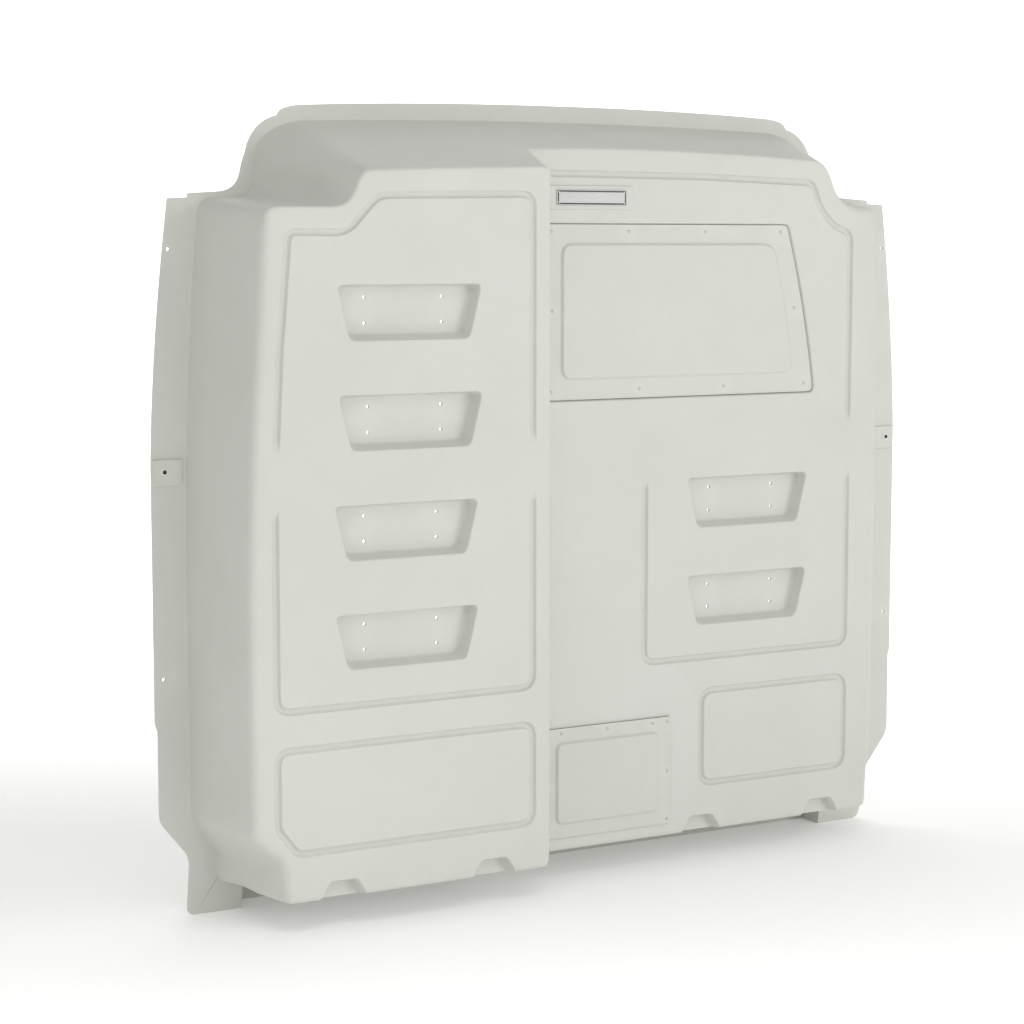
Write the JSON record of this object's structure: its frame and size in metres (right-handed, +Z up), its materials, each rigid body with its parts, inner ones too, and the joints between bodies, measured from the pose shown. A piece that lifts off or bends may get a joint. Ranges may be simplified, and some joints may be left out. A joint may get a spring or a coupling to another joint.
{
  "type": "cargo van partition",
  "caption": "Moulded cab partition for a cargo van: a flanged hollow shell with a deep bulge for the driver's seat, bracket pockets, and riveted window and access covers.",
  "frame": {"origin": "middle of the box the part stands in, level with the underside of the feet", "axes": "+X to the right as seen from the cargo side, +Y towards the cab, +Z up"},
  "size_m": [1.605, 0.283, 1.432],
  "materials": {
    "shell_plastic": "warm light grey moulded composite with a fine haircell grain",
    "cover_plastic": "the shell's composite, formed sheet with a fine grain",
    "gasket_rubber": "closed-cell rubber sheet",
    "rivet_metal": "blind rivets painted to match, semi-gloss",
    "badge_metal": "blank brushed plate with a dark printed border",
    "screw_steel": "black coated steel",
    "washer_plastic": "pale moulded washer"
  },
  "bodies": {
    "root": {"bulkhead_shell": "shell_plastic", "window_cover": "cover_plastic", "window_gasket": "gasket_rubber", "window_rivet_01": "rivet_metal", "window_rivet_02": "rivet_metal", "window_rivet_03": "rivet_metal", "window_rivet_04": "rivet_metal", "window_rivet_05": "rivet_metal", "window_rivet_06": "rivet_metal", "window_rivet_07": "rivet_metal", "window_rivet_08": "rivet_metal", "window_rivet_09": "rivet_metal", "window_rivet_10": "rivet_metal", "access_cover": "cover_plastic", "access_gasket": "gasket_rubber", "access_rivet_01": "rivet_metal", "access_rivet_02": "rivet_metal", "access_rivet_03": "rivet_metal", "access_rivet_04": "rivet_metal", "access_rivet_05": "rivet_metal", "access_rivet_06": "rivet_metal", "access_rivet_07": "rivet_metal", "access_rivet_08": "rivet_metal", "access_rivet_09": "rivet_metal", "badge_plate": "badge_metal", "side_washer_left": "washer_plastic", "side_screw_left": "screw_steel", "side_washer_right": "washer_plastic", "side_screw_right": "screw_steel"}
  },
  "joints": []
}
